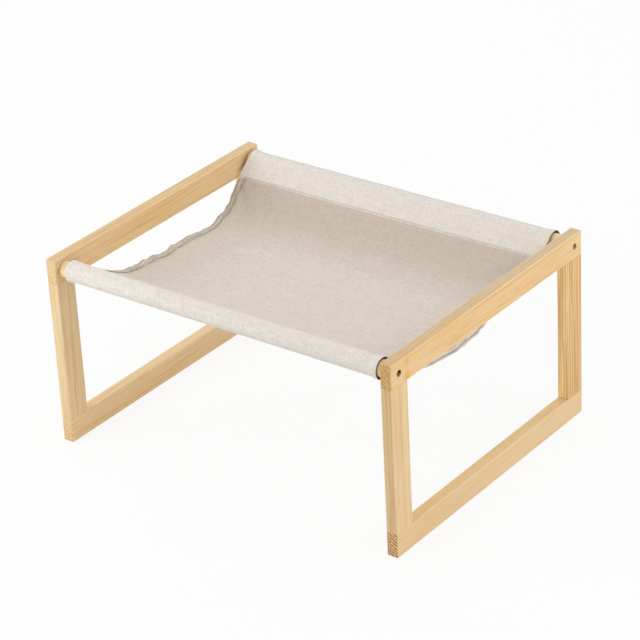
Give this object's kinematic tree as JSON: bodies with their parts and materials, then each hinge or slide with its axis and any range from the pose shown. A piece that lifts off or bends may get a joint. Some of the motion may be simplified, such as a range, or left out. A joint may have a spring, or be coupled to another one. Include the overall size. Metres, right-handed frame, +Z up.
{
  "type": "wooden cat bed",
  "caption": "Low raised pet bed: a canvas sling hung between two round dowels, carried by two open rectangular wooden side frames.",
  "frame": {"origin": "on the floor, midway between the two side frames and midway between front and back", "axes": "+X along the dowels from the left side frame to the right one, -Y towards the front, +Z up"},
  "size_m": [0.485, 0.38, 0.24],
  "materials": {
    "pine": "planed, thin satin oil",
    "dowel_wood": "turned, bare",
    "pin_wood": "turned, bare",
    "zinc_steel": "zinc plated",
    "canvas": "plain woven natural cotton"
  },
  "bodies": {
    "frame": {"left_top_rail": "pine", "left_bottom_rail": "pine", "left_front_post": "pine", "left_rear_post": "pine", "right_top_rail": "pine", "right_bottom_rail": "pine", "right_front_post": "pine", "right_rear_post": "pine", "front_dowel": "dowel_wood", "rear_dowel": "dowel_wood", "left_front_screw": "zinc_steel", "left_rear_screw": "zinc_steel", "right_front_screw": "zinc_steel", "right_rear_screw": "zinc_steel", "left_front_top_pin_1": "pin_wood", "left_front_top_pin_2": "pin_wood", "left_front_bottom_pin_1": "pin_wood", "left_front_bottom_pin_2": "pin_wood", "left_rear_top_pin_1": "pin_wood", "left_rear_top_pin_2": "pin_wood", "left_rear_bottom_pin_1": "pin_wood", "left_rear_bottom_pin_2": "pin_wood", "right_front_top_pin_1": "pin_wood", "right_front_top_pin_2": "pin_wood", "right_front_bottom_pin_1": "pin_wood", "right_front_bottom_pin_2": "pin_wood", "right_rear_top_pin_1": "pin_wood", "right_rear_top_pin_2": "pin_wood", "right_rear_bottom_pin_1": "pin_wood", "right_rear_bottom_pin_2": "pin_wood"},
    "sling": {"sling": "canvas"}
  },
  "joints": [
    {"name": "sling_slide", "type": "slide", "parent": "frame", "child": "sling", "axis": [1, 0, 0], "range_m": [-0.0052, 0.0062]}
  ]
}
